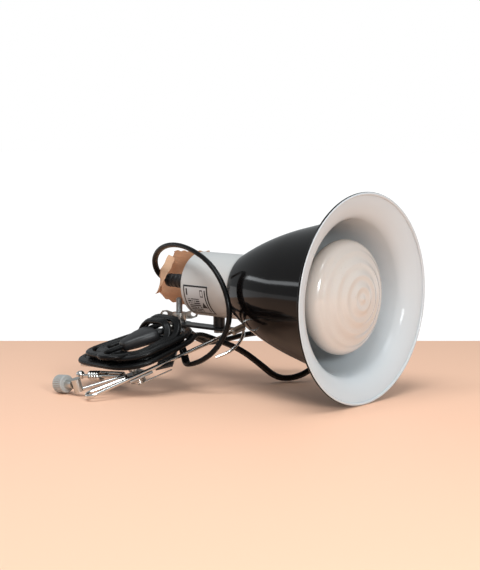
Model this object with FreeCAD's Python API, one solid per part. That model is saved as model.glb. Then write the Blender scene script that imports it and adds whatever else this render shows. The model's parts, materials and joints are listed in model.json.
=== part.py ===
import FreeCAD
import Part
import math
import os

# Clamp-on ceramic heat lamp. Millimetres, +Z up. The lamp axis runs along X with the mouth at +X,
# and the rim of the shade, the grey cap of the thumb screw and the cord rest on Z = 0.

V = FreeCAD.Vector

# Lamp: every X is measured from the rim plane, every radius from the lamp axis.
axis_height = 70.0
rim_radius = 70.0
rim_bead = 1.1
sheet = 1.2
flare_angle = 84.0
crease_angle = 54.0
cone_angle = 13.8
rear_angle = 28.8
flare_bend = 25.4
crease_bend = 12.0
cone_end = -47.0
rear_bend = 212.5
neck_hole = 20.4

housing_radius = 22.8
housing_wall = 2.2
housing_front = -100.2
housing_rear = -145.0
gland_length = 32.0
gland_base = 6.3
gland_tip = 4.6
gland_ribs = 8

insert_radius = 19.0
insert_front = -86.0
insert_rear = -124.0
screw_offset = 16.6
shell_bore = 14.3
shell_radius = 14.2
shell_wall = 0.6
bore_floor = -112.8

emitter_apex = -1.5
emitter_radius = 38.4
emitter_neck = 15.5
cap_radius = 13.2
cap_front = -84.0
cap_rear = -106.0

# Bracket and swivel: a flat strap under the housing turns on an upright stud.
stud_x = -167.0
stud_radius = 2.5
stud_top = 58.0
running = 0.05
strap_low = 38.0
strap_thick = 1.6
strap_half = 7.0
strap_front = -119.0
bracket_x = -128.0

# Clamp: its wires lie in a sloping plane, given by a (along the long lever), b (across it) and h (off it).
lever_end = V(-105.6, 0, 41.8)
lever_slope = math.radians(18.0)
lever_heading = math.radians(18.7)
lever_length = 124.0
wire_radius = 1.3
pivot_a = 84.0
pivot_b = 9.0
jaw_level = 3.0
arm_thick = 1.5
pin_radius = 2.2
hub_radius = 4.2
cap_size = 6.2
cap_length = 9.0
cap_tilt = math.radians(5.3)
stem_length = 6.6

# Cord: a flat twin cord 5.6 wide, whose plain tube has the same area as its section.
cord_tube = 2.4

along = V(
    -math.sin(lever_heading) * math.cos(lever_slope),
    -math.cos(lever_heading) * math.cos(lever_slope),
    -math.sin(lever_slope),
)
across = V(-math.cos(lever_heading), math.sin(lever_heading), 0)
upright = across.cross(along)

pieces = {}
on_the_cord = {"cord_lead", "cord_loop", "cord_hank", "plug_body", "plug_pins", "kraft_card", "card_strip"}


def on_clamp(a, b, h=0.0):
    return lever_end + along * a + across * b + upright * h


def on_lamp(x, r):
    return V(x, 0, axis_height + r)


def rod(start, end, radius):
    run = end - start
    return Part.makeCylinder(radius, run.Length, start, run)


def along_axis(rear, front, outer, inner=0.0):
    solid = rod(on_lamp(rear, 0), on_lamp(front, 0), outer)
    if inner:
        solid = solid.cut(rod(on_lamp(rear - 1, 0), on_lamp(front + 1, 0), inner))
    return solid


def standing(x, low, high, outer, inner=0.0, y=0.0):
    solid = rod(V(x, y, low), V(x, y, high), outer)
    if inner:
        solid = solid.cut(rod(V(x, y, low - 1), V(x, y, high + 1), inner))
    return solid


def turned(edges):
    face = Part.Face(Part.Wire(Part.__sortEdges__(edges)))
    return face.revolve(on_lamp(0, 0), V(1, 0, 0), 360)


def line(p, q):
    return Part.LineSegment(p, q).toShape()


def arc(p, q, r):
    return Part.Arc(p, q, r).toShape()


def smooth_path(points, bends=None, label=""):
    """Straight runs joined by tangent arcs of the given bend radii, or else as large as the runs allow."""
    edges, here, radii = [], points[0], []
    for k, (before, corner, after) in enumerate(zip(points, points[1:], points[2:])):
        back, on = before - corner, after - corner
        half_turn = (math.pi - back.getAngle(on)) / 2
        radius = bends[k] if bends else 0.45 * min(back.Length, on.Length) / math.tan(half_turn)
        reach = radius * math.tan(half_turn)
        back.normalize()
        on.normalize()
        enter, leave = corner + back * reach, corner + on * reach
        inward = (back + on).normalize()
        middle = corner + inward * (radius / math.cos(half_turn) - radius)
        edges += [line(here, enter), arc(enter, middle, leave)]
        here = leave
        radii.append(radius)
    edges.append(line(here, points[-1]))
    if label:
        print(label, "bend radii", " ".join("%.0f" % r for r in radii))
    return Part.Wire(edges)


def swept(path, radius, label=""):
    start = path.Edges[0]
    ring = Part.Wire(Part.Circle(start.Vertexes[0].Point, start.tangentAt(0), radius).toShape())
    solid = path.makePipeShell([ring], True, False)
    if label:
        ratio = solid.Volume / (math.pi * radius**2 * path.Length)
        print(label, "length %.0f, volume over section times length %.4f" % (path.Length, ratio))
    return solid


def slab(outline, direction):
    return Part.Face(Part.makePolygon(outline + outline[:1])).extrude(direction)


# Shade

def skin_point(x, r, angle, lift):
    """The point lift outside (x, r), where the skin runs rearwards at angle from the lamp axis."""
    return on_lamp(x - lift * math.sin(angle), r + lift * math.cos(angle))


def shade_skin(lift):
    """The shade's section from rim to neck, lift outside its inner face."""
    x, r = -rim_bead, rim_radius - rim_bead
    edges, ends = [], []

    def bend(x, r, start, end, radius):
        cx, cr = x - radius * math.sin(start), r + radius * math.cos(start)
        turns = (start, (start + end) / 2, end)
        places = [(cx + radius * math.sin(t), cr - radius * math.cos(t), t) for t in turns]
        edges.append(arc(*[skin_point(*place, lift) for place in places]))
        return places[-1][:2]

    flare, crease, cone, rear = map(math.radians, (flare_angle, crease_angle, cone_angle, rear_angle))
    ends.append(skin_point(x, r, flare, lift))
    x, r = bend(x, r, flare, crease, flare_bend)
    x, r = bend(x, r, crease, cone, crease_bend)
    run_end = (cone_end, r - (x - cone_end) * math.tan(cone))
    edges.append(line(skin_point(x, r, cone, lift), skin_point(*run_end, cone, lift)))
    x, r = bend(*run_end, cone, rear, -rear_bend)
    ends.append(skin_point(x, r, rear, lift))
    return edges, ends


def reflector_shade():
    inner, inner_ends = shade_skin(0)
    outer, outer_ends = shade_skin(sheet)
    neck_x = inner_ends[1].x
    corner = outer_ends[1].z - axis_height - sheet / 2
    lip = [
        inner_ends[1],
        on_lamp(neck_x, neck_hole),
        on_lamp(neck_x - sheet, neck_hole),
        on_lamp(neck_x - sheet, corner),
        outer_ends[1],
    ]
    closing = [line(p, q) for p, q in zip(lip, lip[1:])]
    wall = turned(inner + outer + closing + [line(inner_ends[0], outer_ends[0])])
    centre = on_lamp(-rim_bead, 0)
    bead = Part.makeTorus(rim_radius - rim_bead, rim_bead, centre, V(1, 0, 0))
    return wall.fuse(bead)


def neck_plane():
    return shade_skin(0)[1][1].x


# Housing and lampholder

def rear_housing():
    shell = along_axis(housing_rear, housing_front, housing_radius)
    rims = [e for e in shell.Edges if abs(e.CenterOfMass.x - housing_rear) < 0.01 and e.Length > 100]
    shell = shell.makeFillet(1.5, rims)
    inside = along_axis(housing_rear + housing_wall, housing_front + 1, housing_radius - housing_wall)
    stem_hole = along_axis(housing_rear - 1, housing_rear + housing_wall + 1, 4.9)
    bolt_hole = standing(bracket_x, 40, 52, 2.1)
    shell = shell.cut(inside).cut(stem_hole).cut(bolt_hole)
    for side in (-1, 1):
        post = rod(V(housing_rear + 2, side * screw_offset, axis_height),
                   V(insert_rear, side * screw_offset, axis_height), 3.4)
        shell = shell.fuse(post)
    return shell.cut(holder_screws())


def holder_screws():
    screws = []
    for side in (-1, 1):
        tip = V(insert_rear - 10, side * screw_offset, axis_height)
        screws.append(rod(tip, tip + V(20, 0, 0), 1.2))
    return Part.makeCompound(screws)


def porcelain_insert():
    body = along_axis(insert_rear, insert_front, insert_radius)
    bore = along_axis(bore_floor, insert_front + 1, shell_bore)
    return body.cut(bore)


def terminal_screws():
    heads = []
    for side in (-1, 1):
        base = V(insert_rear - 3.0, 0, axis_height + side * 11)
        head = rod(base, base + V(3.0, 0, 0), 3.0)
        slot = Part.makeBox(1.2, 7, 0.9, base + V(-0.4, -3.5, -0.45))
        heads.append(head.cut(slot))
    return Part.makeCompound(heads)


def cord_gland():
    start = housing_rear
    tip = start - gland_length
    core = Part.makeCone(gland_base - 1, gland_tip, gland_length, on_lamp(start, 0), V(-1, 0, 0))
    gland = core.fuse(along_axis(start, housing_rear + housing_wall + 4.0, 4.9))
    pitch = (gland_length - 3) / gland_ribs
    for k in range(gland_ribs):
        x = start - k * pitch
        radius = gland_base + (gland_tip - gland_base) * (start - x) / gland_length
        gland = gland.fuse(along_axis(x - 0.62 * pitch, x, radius))
    return gland.fuse(along_axis(tip, tip + 2.5, gland_tip + 0.2))


def rating_label():
    rear, front, drop, rise = -141.5, -119.0, 57.0, 3.0
    wedge = Part.makeCylinder(housing_radius + 0.25, front - rear, V(0, 0, 0), V(0, 0, 1), drop + rise)
    wedge = wedge.cut(Part.makeCylinder(housing_radius, front - rear))
    wedge.rotate(V(0, 0, 0), V(0, 1, 0), 90)
    wedge.translate(V(rear, 0, axis_height))
    wedge.rotate(on_lamp(0, 0), V(1, 0, 0), -90 - rise)
    return wedge


# Emitter

def emitter_body():
    dome_edge = on_lamp(-10.5, 33.0)
    widest = on_lamp(-18.0, emitter_radius)
    back = on_lamp(-27.0, 32.5)
    apex = on_lamp(emitter_apex, 0)
    outline = [
        arc(apex, on_lamp(-3.8, 17.0), dome_edge),
        arc(dome_edge, on_lamp(-13.7, 36.9), widest),
        arc(widest, on_lamp(-23.8, 36.6), back),
    ]
    corners = [
        back,
        on_lamp(-56.0, 18.5),
        on_lamp(cap_front, emitter_neck),
        on_lamp(cap_front, cap_radius - 1),
        on_lamp(cap_rear + 3, cap_radius - 1),
        on_lamp(cap_rear + 3, 0),
        apex,
    ]
    outline += [line(p, q) for p, q in zip(corners, corners[1:])]
    hollow = Part.makeCone(28, 14, 30, on_lamp(-24, 0), V(-1, 0, 0))
    hollow = hollow.fuse(Part.makeCone(14, 10.5, 26, on_lamp(-54, 0), V(-1, 0, 0)))
    return turned(outline).cut(hollow)


def emitter_insulator():
    plug = along_axis(cap_rear, cap_rear + 3, cap_radius - 1)
    return plug.fuse(Part.makeCone(9, 5, 4, on_lamp(cap_rear, 0), V(-1, 0, 0)))


# Bracket, stud and wing nut

def bracket_strap():
    top = strap_low + strap_thick
    bar = Part.makeBox(strap_front - stud_x, 2 * strap_half, strap_thick, V(stud_x, -strap_half, strap_low))
    bar = bar.fuse(standing(stud_x, strap_low, top, strap_half + 2))
    bar = bar.cut(standing(stud_x, strap_low - 1, top + 1, stud_radius + running))
    return bar.cut(standing(bracket_x, strap_low - 1, top + 1, 2.0))


def bracket_bolt():
    shank = standing(bracket_x, strap_low, 54, 2.0)
    return standing(bracket_x, strap_low - 2.2, strap_low, 3.8).fuse(shank)


def spring_washer():
    low = strap_low + strap_thick
    ring = standing(stud_x, low, low + 1.7, 5.2, 2.9)
    return ring.cut(Part.makeBox(4, 1.2, 4, V(stud_x + 2, -0.6, low - 1)))


def wing_nut():
    low, wing_reach, wing_height, turn = strap_low + 3.5, 14.0, 7.0, 41.0
    nut = standing(stud_x, low, low + 5.5, 5.0)
    for side in (-1, 1):
        root, tip = side * 3.5, side * wing_reach
        outline = [
            V(root, -1, low + 0.6),
            V(side * 9.0, -1, low + 0.8),
            V(tip - side, -1, low + 2.2),
            V(tip, -1, low + 4.5),
            V(tip - side * 1.5, -1, low + 6.6),
            V(side * 9.0, -1, low + wing_height),
            V(root, -1, low + 5.0),
        ]
        wing = slab(outline, V(0, 2, 0))
        wing = wing.cut(rod(V(side * 10.3, -2, low + 4.2), V(side * 10.3, 2, low + 4.2), 1.8))
        wing.rotate(V(0, 0, 0), V(0, 0, 1), turn)
        wing.translate(V(stud_x, 0, 0))
        nut = nut.fuse(wing)
    return nut.cut(standing(stud_x, low - 1, low + 8, stud_radius + running))


# Clamp

def mount_arm():
    foot, head = on_clamp(66, 0, -wire_radius - arm_thick), on_clamp(24, 58, -wire_radius - arm_thick)
    run = (head - foot).normalize()
    side = run.cross(upright) * 6.0
    outline = [foot - run * 3 + side, head + run * 5 + side, head + run * 5 - side, foot - run * 3 - side]
    bar = slab(outline, upright * arm_thick)
    boss = standing(stud_x, 30.5, 37.2, 7.5)
    return bar.fuse(boss).cut(standing(stud_x, 20, 40, stud_radius))


def swivel_stud():
    return standing(stud_x, 30.5, stud_top, stud_radius).fuse(standing(stud_x, 27.3, 30.5, 5.0))


def near_lever_wire():
    route = [(0, 0), (lever_length, 0), (lever_length, 9.8), (92, 4.6), (92, 9.4), (119.0, 21.6)]
    points = [on_clamp(a, b) for a, b in route]
    return swept(smooth_path(points, (4.6, 4.6, 2.2, 2.2)), wire_radius)


def fixed_jaw_wire():
    route = [(98.6, 43.0), (89.6, 15.4), (93.4, 12.6), (106.2, 47.0)]
    points = [on_clamp(a, b) for a, b in route]
    return swept(smooth_path(points, (1.9, 1.9)), wire_radius)


def moving_jaw_wire():
    hub = rod(on_clamp(pivot_a, pivot_b, 0), on_clamp(pivot_a, pivot_b, 8), hub_radius)
    jaw = rod(on_clamp(pivot_a, pivot_b, jaw_level), on_clamp(99, 63, jaw_level), wire_radius)
    tip = Part.makeSphere(wire_radius, on_clamp(99, 63, jaw_level))
    handle = rod(on_clamp(pivot_a, pivot_b, jaw_level), on_clamp(47, 26.5, jaw_level), wire_radius)
    return jaw.fuse(tip).fuse(handle).cut(hub)


def jaw_hub():
    low, high = on_clamp(pivot_a, pivot_b, 1.6), on_clamp(pivot_a, pivot_b, 4.5)
    return rod(low, high, hub_radius).cut(rod(low - upright, high + upright, pin_radius + running))


def finger_tab():
    run = (on_clamp(47, 26.5) - on_clamp(pivot_a, pivot_b)).normalize()
    side = run.cross(upright) * 5.0
    start = on_clamp(47, 26.5, jaw_level - 0.6)
    outline = [start + side * 0.5, start + run * 5 + side, start + run * 9 + side * 0.6]
    outline += [start + run * 9 - side * 0.6, start + run * 5 - side, start - side * 0.5]
    return slab(outline, upright * 1.2)


def pivot_pin():
    low, high = on_clamp(pivot_a, pivot_b, -wire_radius - arm_thick), on_clamp(pivot_a, pivot_b, 4.7)
    head = rod(low - upright * 1.2, low, 3.6)
    return rod(low, high, pin_radius).fuse(head)


def pin_lug():
    low = -wire_radius - arm_thick
    outline = [on_clamp(a, b, low) for a, b in ((76, -1.5), (94, -1.5), (95, 15), (89, 17), (78, 14))]
    hole = rod(on_clamp(pivot_a, pivot_b, low - 1), on_clamp(pivot_a, pivot_b, 1), pin_radius)
    return slab(outline, upright * arm_thick).cut(hole)


def torsion_spring():
    """Four touching turns below the lug, drawn as rings, with a leg under each lever."""
    mid, thick = 4.9, 0.55
    base = -wire_radius - arm_thick - thick
    coil = None
    for k in range(4):
        centre = on_clamp(pivot_a, pivot_b, base - k * 1.9 * thick)
        ring = Part.makeTorus(mid, thick, centre, upright)
        coil = ring if coil is None else coil.fuse(ring)
    leg = rod(on_clamp(pivot_a - 1, pivot_b - mid, base), on_clamp(60, 3.6, base), thick)
    return coil.fuse(leg)


def thumb_axis():
    heading = (along * 0.3 + across * 0.954).normalize()
    centre = on_clamp(127.0, 38.0)
    centre.z = cap_size * math.cos(cap_tilt) + 0.5 * cap_length * math.sin(cap_tilt) + 0.1
    return centre, heading


def thumb_cap():
    centre, heading = thumb_axis()
    cap = rod(centre - heading * (cap_length / 2), centre + heading * (cap_length / 2), cap_size)
    ends = [e for e in cap.Edges if e.Length > 30]
    return cap.makeFillet(0.9, ends)


def thumb_stem():
    centre, heading = thumb_axis()
    start = centre - heading * (cap_length / 2)
    return rod(start - heading * stem_length, start, 3.1)


def screw_barrel():
    centre, heading = thumb_axis()
    place = centre - heading * (cap_length / 2 + stem_length + 3.7)
    return rod(place - upright * 5.0, place + upright * 4.2, 3.2)


def ball_head():
    place = on_clamp(107.4, 49.9, 0.8)
    return Part.makeSphere(3.2, place).cut(rod(place + upright * 2.4, place + upright * 5, 4))


def jaw_coil():
    """Four touching turns of wire round the free end of the fixed jaw."""
    start, run = on_clamp(101.2, 33.6), (on_clamp(106.2, 47.0) - on_clamp(93.4, 12.6)).normalize()
    rings = None
    for k in range(4):
        ring = Part.makeTorus(2.6, 1.25, start + run * (2.3 * k), run)
        rings = ring if rings is None else rings.fuse(ring)
    return rings


def wire_ferrule():
    sleeve = rod(on_clamp(-0.5, 0), on_clamp(9, 0), 2.5)
    return sleeve.cut(rod(on_clamp(-1, 0), on_clamp(10, 0), wire_radius))


finger_loop_route = [
    V(-102.8, -2.6, 39.4),
    V(-99.4, -7, 36.5),
    V(-99.5, -12, 31.5),
    V(-101.5, -19, 27),
    V(-107, -27, 23.5),
]


# Cord

lead_route = [
    V(-177.05, 0, 70),
    V(-182.4, 0, 70.2),
    V(-186.4, -3.6, 76.4),
    V(-183.2, -9.2, 85.4),
    V(-173.2, -15, 93.2),
    V(-158.6, -20.5, 98.2),
    V(-141.2, -25.5, 99.2),
    V(-124.4, -29.5, 96.2),
    V(-109.6, -32, 90.3),
    V(-98.0, -34, 81.4),
    V(-90.2, -35.2, 70.2),
    V(-87.0, -35.5, 59.5),
    V(-87.6, -35.5, 49.2),
    V(-91.5, -37, 39.2),
    V(-96.6, -40.5, 30.2),
    V(-103.2, -45, 24.0),
    V(-111.6, -46.5, 20.6),
    V(-120.2, -42.6, 19.2),
    on_clamp(46.0, 8.0, -5.5),
    on_clamp(46.0, 8.0, 5.45),
]
loop_route = [
    on_clamp(34.0, 3.5, 9.5),
    V(-118.4, -16.2, 34.0),
    V(-107.6, -1.5, 26.5),
    V(-100.4, 12.5, 14.5),
    V(-96.0, 26.0, 2.5),
    V(-87.0, 37.0, 2.5),
    V(-79.5, 48.0, 9.5),
    V(-80.5, 59.0, 19.0),
    V(-92.0, 64.5, 25.5),
    V(-107.0, 60.5, 29.5),
    V(-121.0, 49.5, 31.5),
    V(-131.5, 35.5, 30.5),
    V(-138.0, 20.0, 27.5),
    V(-140.0, 4.0, 26.5),
    V(-136.8, -11.0, 31.2),
    on_clamp(36.5, 16.0, 9.0),
]
hank_corners = [(97, 60), (88, -4), (42, 2), (50, 46)]
hank_half = 9.0
hank_low = 5.5
hank_high = 14.5
ledge_half = 14.6
ledge_high = 9.9


def cord_hank():
    """The bundled turns, and under the plug the lowest turns, which reach further in."""
    ring = Part.makePolygon([on_clamp(a, b, hank_low) for a, b in hank_corners + hank_corners[:1]])
    outer, inner, core = [Part.Face(ring.makeOffset2D(k)) for k in (hank_half, -hank_half, -ledge_half)]
    bundle = outer.cut(inner).extrude(upright * (hank_high - hank_low))
    return bundle.fuse(inner.cut(core).extrude(upright * (ledge_high - hank_low)))


def plug_body():
    low, high, rear, front, middle = 10.5, 20.5, 82.0, 57.0, 24.0
    widths = ((rear, 5.0), (72.0, 8.5), (front, 11.5))
    corners = [(a, middle - w) for a, w in widths] + [(a, middle + w) for a, w in reversed(widths)]
    return slab([on_clamp(a, b, low) for a, b in corners], upright * (high - low))


def plug_pins():
    pins = []
    for b in (15.5, 32.5):
        pins.append(rod(on_clamp(57.0, b, 16.6), on_clamp(38.0, b, 16.6), 2.0))
    return Part.makeCompound(pins)


def kraft_card():
    corners = [(-149, 91.9), (-185.4, 90), (-204, 65.5), (-201.5, 61), (-203.5, 57), (-195, 54)]
    corners += [(-181, 50.8), (-165, 49.6), (-149, 49.8)]
    return slab([V(x, 12, z) for x, z in corners], V(0, 0.6, 0))


card_strip_route = [
    V(-185, 11.0, 86),
    V(-180, 3.0, 82),
    V(-175, -8.5, 75),
    V(-179, -8.0, 66),
    V(-190, 2.0, 60),
    V(-198, 10.5, 58),
]


def build():
    neck = neck_plane()
    pieces["reflector_shade"] = reflector_shade()
    pieces["shade_ring"] = along_axis(neck, neck + 4, 22.8, 20.2)
    pieces["lampholder_skirt"] = along_axis(-122, -84.5, 20.2, insert_radius)
    pieces["rear_housing"] = rear_housing()
    pieces["rating_label"] = rating_label()
    pieces["porcelain_insert"] = porcelain_insert().cut(holder_screws())
    pieces["holder_screws"] = holder_screws()
    pieces["terminal_screws"] = terminal_screws()
    pieces["screw_shell"] = along_axis(-111.5, -88, shell_radius, shell_radius - shell_wall)
    pieces["centre_contact"] = along_axis(bore_floor, bore_floor + 0.7, 5)
    pieces["cord_gland"] = cord_gland()
    pieces["gland_nut"] = along_axis(housing_rear + housing_wall, housing_rear + housing_wall + 3.5, 8, 4.9)
    pieces["emitter_body"] = emitter_body()
    pieces["emitter_cap"] = along_axis(cap_rear, cap_front, cap_radius, cap_radius - 1)
    pieces["emitter_insulator"] = emitter_insulator()
    pieces["emitter_contact"] = along_axis(cap_rear - 5.6, cap_rear - 4, 4.6)
    pieces["bracket_strap"] = bracket_strap()
    pieces["bracket_bolt"] = bracket_bolt()
    pieces["bracket_spacer"] = standing(bracket_x, strap_low + strap_thick, 47.2, 4.2, 2.0)
    pieces["bracket_nut"] = standing(bracket_x, 49.9, 52.6, 3.6, 2.0)
    pieces["spring_washer"] = spring_washer()
    pieces["wing_nut"] = wing_nut()
    pieces["swivel_stud"] = swivel_stud()
    pieces["friction_washer"] = standing(stud_x, 37.2, strap_low - 0.1, 7.0, stud_radius)
    pieces["mount_arm"] = mount_arm()
    pieces["near_lever_wire"] = near_lever_wire()
    pieces["wire_ferrule"] = wire_ferrule()
    pieces["fixed_jaw_wire"] = fixed_jaw_wire()
    pieces["jaw_coil"] = jaw_coil()
    pieces["ball_head"] = ball_head()
    pieces["pin_lug"] = pin_lug()
    pieces["pivot_pin"] = pivot_pin()
    pieces["torsion_spring"] = torsion_spring()
    pieces["moving_jaw_wire"] = moving_jaw_wire()
    pieces["jaw_hub"] = jaw_hub()
    pieces["finger_tab"] = finger_tab()
    pieces["screw_barrel"] = screw_barrel()
    pieces["thumb_stem"] = thumb_stem()
    pieces["thumb_cap"] = thumb_cap()
    pieces["finger_loop"] = swept(smooth_path(finger_loop_route), 1.1)
    pieces["cord_lead"] = swept(smooth_path(lead_route, label="cord_lead"), cord_tube, "cord_lead")
    pieces["cord_loop"] = swept(smooth_path(loop_route, label="cord_loop"), cord_tube, "cord_loop")
    pieces["cord_hank"] = cord_hank()
    pieces["plug_body"] = plug_body()
    pieces["plug_pins"] = plug_pins()
    pieces["kraft_card"] = kraft_card()
    pieces["card_strip"] = swept(smooth_path(card_strip_route), 1.4)


def main():
    """Build every piece, move the origin to the bottom centre of the lamp and clamp, and save."""
    build()
    box = FreeCAD.BoundBox()
    for name, shape in pieces.items():
        if name not in on_the_cord:
            box.add(shape.optimalBoundingBox(False, False))
    shift = V(-box.Center.x, -box.Center.y, -box.ZMin)
    print("size without the cord %.1f %.1f %.1f" % (box.XLength, box.YLength, box.ZLength))
    print("moved by %.4f %.4f %.4f" % tuple(shift))
    os.makedirs("parts", exist_ok=True)
    for name, shape in pieces.items():
        if not shape.isValid() or shape.Volume <= 0:
            print("BAD", name, shape.Volume)
        moved = shape.copy()
        moved.translate(shift)
        moved.exportStep("parts/%s.step" % name)
        low = shape.optimalBoundingBox(False, False).ZMin
        print("%-18s %9.1f mm3  %d solids, lowest %.2f" % (name, shape.Volume, len(shape.Solids), low))


main()
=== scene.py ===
import json
import math

import bmesh
import bpy
import numpy as np
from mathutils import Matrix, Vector


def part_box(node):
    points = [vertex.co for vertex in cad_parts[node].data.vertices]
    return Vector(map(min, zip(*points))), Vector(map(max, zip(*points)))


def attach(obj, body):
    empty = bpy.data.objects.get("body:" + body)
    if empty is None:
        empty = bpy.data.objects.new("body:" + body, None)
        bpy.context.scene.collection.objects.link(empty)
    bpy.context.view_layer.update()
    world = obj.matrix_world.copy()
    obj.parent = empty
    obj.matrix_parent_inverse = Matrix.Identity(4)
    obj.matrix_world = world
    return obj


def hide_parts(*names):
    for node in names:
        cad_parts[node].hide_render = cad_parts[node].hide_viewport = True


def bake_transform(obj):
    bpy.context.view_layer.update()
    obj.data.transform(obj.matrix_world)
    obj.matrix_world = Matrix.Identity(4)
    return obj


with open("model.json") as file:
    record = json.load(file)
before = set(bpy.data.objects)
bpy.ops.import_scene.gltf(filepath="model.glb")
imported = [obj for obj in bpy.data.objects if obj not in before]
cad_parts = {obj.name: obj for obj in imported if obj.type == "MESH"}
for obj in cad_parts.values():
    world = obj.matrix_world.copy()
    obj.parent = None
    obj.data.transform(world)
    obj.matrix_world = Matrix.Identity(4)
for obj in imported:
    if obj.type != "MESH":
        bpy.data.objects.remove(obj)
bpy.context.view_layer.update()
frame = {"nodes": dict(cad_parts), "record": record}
nodes = frame["nodes"]

shadeLow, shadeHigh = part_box("reflector_shade")
rim = np.array([shadeHigh[0], (shadeLow[1] + shadeHigh[1]) / 2, 0.0])  # rim plane, lamp axis, floor
axisHeight = 0.07
weld = 1e-6  # points nearer than this are one


# a place given from the rim plane, the lamp axis and the floor, in metres
def place(points):
    return np.array(points, float) + rim


# camera, floor and lights

cameraPlace = {"from": (0.542, -0.751, 0.1855), "to": (-0.1084, 0, 0.0713), "lens": 106.95, "sensor": 36}
studio = {
    "floorSize": 12.0,
    "tableEdge": 0.205,
    "world": 0.42,
    "cool": (0.93, 0.975, 1.0),
    "peach": (0.98, 0.60, 0.415),
    "lights": [
        # name, where, what it faces, width, height, watts
        ("topBox", (0.10, -0.45, 1.05), (-0.05, 0, 0.07), 0.8, 0.5, 8.5),
        ("leftBox", (-1.05, -0.35, 0.28), (-0.1, 0, 0.07), 0.5, 0.06, 0.45),
        ("frontBox", (1.05, -0.60, 0.45), (-0.02, 0, 0.07), 0.3, 0.3, 8.0),
    ],
}


def facing(thing, start, end):
    thing.location = Vector(start)
    thing.rotation_mode = "QUATERNION"
    thing.rotation_quaternion = (Vector(end) - Vector(start)).to_track_quat("-Z", "Y")


def makeCamera(facts):
    data = bpy.data.cameras.new("camera")
    data.lens, data.sensor_width, data.sensor_fit = facts["lens"], facts["sensor"], "HORIZONTAL"
    data.clip_start, data.clip_end = 0.05, 50
    camera = bpy.data.objects.new("camera", data)
    bpy.context.scene.collection.objects.link(camera)
    facing(camera, place(facts["from"]), place(facts["to"]))
    bpy.context.scene.camera = camera


def makeLights(facts):
    for name, where, target, width, height, watts in facts["lights"]:
        data = bpy.data.lights.new(name, "AREA")
        data.shape, data.size, data.size_y, data.energy = "RECTANGLE", width, height, watts
        data.color = facts["cool"]
        light = bpy.data.objects.new(name, data)
        bpy.context.scene.collection.objects.link(light)
        facing(light, place(where), place(target))
    world = bpy.data.worlds.new("studio")
    world.use_nodes = True
    tree = world.node_tree
    light = tree.nodes["Background"]
    light.inputs["Color"].default_value = (*facts["cool"], 1)
    light.inputs["Strength"].default_value = facts["world"]
    seen = tree.nodes.new("ShaderNodeBackground")  # the white backdrop, brighter than the light it gives
    seen.inputs["Color"].default_value = (1, 1, 1, 1)
    rays, either = tree.nodes.new("ShaderNodeLightPath"), tree.nodes.new("ShaderNodeMixShader")
    tree.links.new(rays.outputs["Is Camera Ray"], either.inputs[0])
    tree.links.new(light.outputs[0], either.inputs[1])
    tree.links.new(seen.outputs[0], either.inputs[2])
    tree.links.new(either.outputs[0], tree.nodes["World Output"].inputs["Surface"])
    bpy.context.scene.world = world
    bpy.context.scene.view_settings.view_transform = "Standard"


makeCamera(cameraPlace)
makeLights(studio)
print("camera and lights")


# shader maths: a socket that adds Math nodes as it is worked with


class Value:
    def __init__(self, paint, socket):
        self.paint, self.socket = paint, socket

    def math(self, kind, *others):
        return self.paint.node("Math", {"operation": kind}, dict(enumerate((self,) + others)))

    def __add__(self, other):
        return self.math("ADD", other)

    def __sub__(self, other):
        return self.math("SUBTRACT", other)

    def __rsub__(self, other):
        return self.paint.node("Math", {"operation": "SUBTRACT"}, {0: other, 1: self})

    def __mul__(self, other):
        return self.math("MULTIPLY", other)

    def __gt__(self, other):
        return self.math("GREATER_THAN", other)

    def __lt__(self, other):
        return self.math("LESS_THAN", other)

    __radd__ = __add__
    __rmul__ = __mul__


class Paint:
    def __init__(self, name, **sockets):
        self.material = bpy.data.materials.new(name)
        self.material.use_nodes = True
        self.tree = self.material.node_tree
        self.shader = self.tree.nodes["Principled BSDF"]
        for key, value in sockets.items():
            self.set(key.replace("_", " "), value)

    # one node: its settings first, then what its sockets are given
    def node(self, kind, settings=None, given=None, out=0):
        made = self.tree.nodes.new("ShaderNode" + kind)
        for key, value in (settings or {}).items():
            setattr(made, key, value)
        for key, value in (given or {}).items():
            self.feed(made.inputs[key], value)
        return Value(self, made.outputs[out])

    def feed(self, socket, value):
        if isinstance(value, Value):
            self.tree.links.new(value.socket, socket)
        elif isinstance(value, tuple) and len(value) == 3 and len(socket.default_value) == 4:
            socket.default_value = (*value, 1)
        else:
            socket.default_value = value

    def set(self, name, value):
        self.feed(self.shader.inputs[name], value)

    def here(self):
        return self.node("TexCoord", out="Object")

    def noise(self, scale, detail=3, roughness=0.5, stretch=(1, 1, 1)):
        where = self.node("Mapping", {}, {"Vector": self.here(), "Scale": stretch})
        given = {"Vector": where, "Scale": scale, "Detail": detail, "Roughness": roughness}
        return self.node("TexNoise", {}, given)

    def attribute(self, name):
        return self.node("Attribute", {"attribute_name": name}, out="Fac")

    # across and down a grid surface, each from 0 to 1
    def uv(self):
        split = self.node("SeparateXYZ", {}, {0: self.node("UVMap", {"uv_map": "grid"})})
        return split, Value(self, split.socket.node.outputs[1])

    def mix(self, mask, first, second):
        return self.node("Mix", {"data_type": "RGBA"}, {0: mask, 6: first, 7: second}, out=2)

    def bump(self, height, distance, strength=1.0):
        given = {"Height": height, "Distance": distance, "Strength": strength}
        self.set("Normal", self.node("Bump", {}, given))


# materials

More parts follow.
